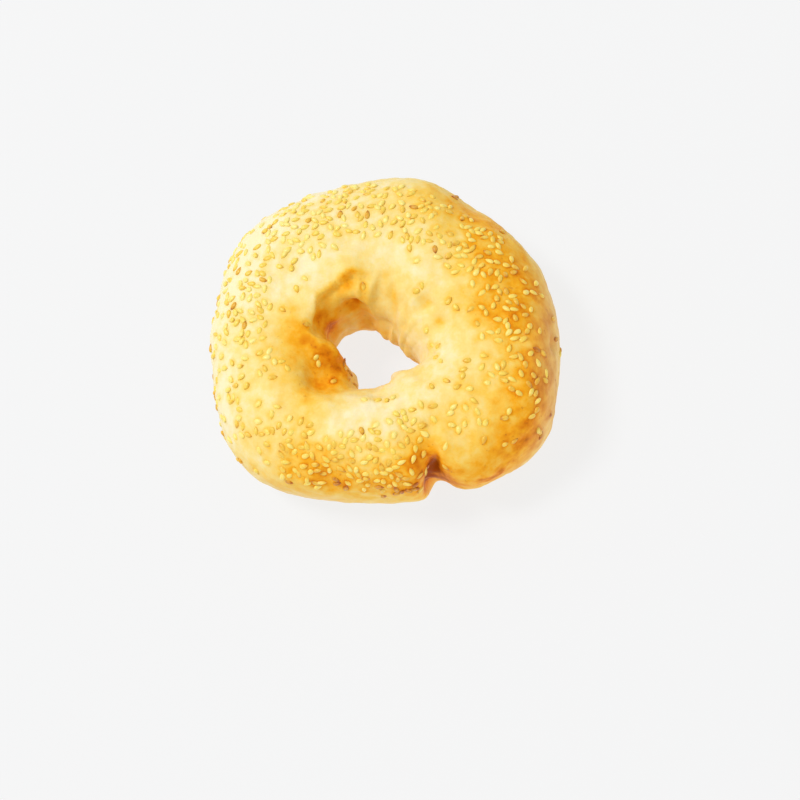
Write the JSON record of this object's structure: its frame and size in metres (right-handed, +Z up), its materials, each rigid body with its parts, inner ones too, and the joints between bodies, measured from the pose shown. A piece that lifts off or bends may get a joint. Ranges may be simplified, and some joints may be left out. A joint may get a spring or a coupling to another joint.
{
  "type": "sesame bagel",
  "caption": "Baked ring-shaped bread roll with a hole through it, a lumpy golden crust and sesame seeds baked into its upper face.",
  "frame": {"origin": "on the surface the bagel rests on, under the middle of its outline", "axes": "+Z up through the hole, out of the seeded face; the bagel lies in the XY plane, with the seam of the dough towards -Y"},
  "size_m": [0.1107, 0.106, 0.0421],
  "materials": {
    "crust": "baked bread crust, satin, pale gold to toasted brown",
    "seed": "toasted hulled sesame, satin"
  },
  "bodies": {
    "root": {"bagel": "crust"}
  },
  "joints": []
}
